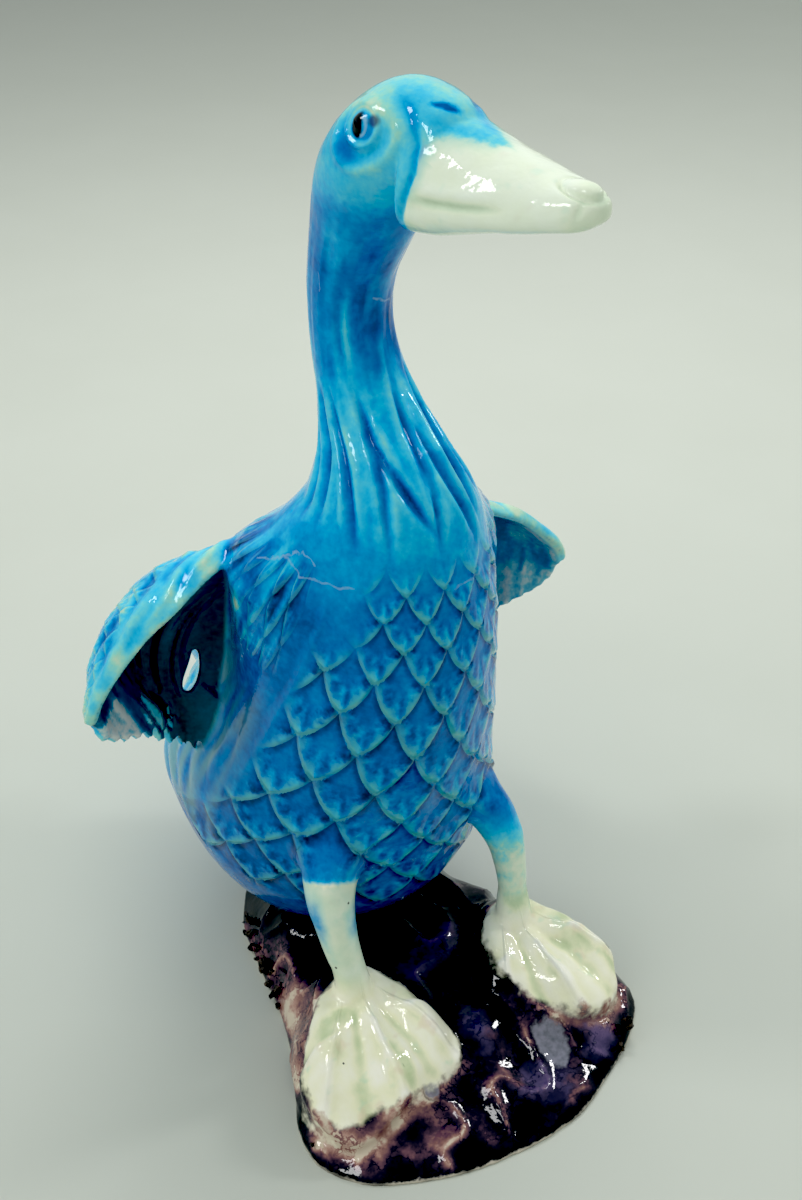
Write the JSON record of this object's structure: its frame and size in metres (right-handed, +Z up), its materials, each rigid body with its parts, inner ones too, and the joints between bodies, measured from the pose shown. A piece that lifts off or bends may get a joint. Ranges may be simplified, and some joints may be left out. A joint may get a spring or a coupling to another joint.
{
  "type": "porcelain bird figurine",
  "caption": "Glazed porcelain duck standing upright with half-spread wings on a rockwork base, its body, neck and bill carved and glazed as one fired piece.",
  "frame": {"origin": "on the flat underside of the base, under the point midway between the ankles", "axes": "+Z up, the duck faces -Y, its left side is +X"},
  "size_m": [0.114, 0.1467, 0.1991],
  "materials": {
    "glaze": "turquoise glaze pooled darker in the carving, cream glaze on bill, legs and feet, mottled aubergine glaze on the rock"
  },
  "bodies": {
    "root": {"duck_figurine": "glaze"}
  },
  "joints": []
}
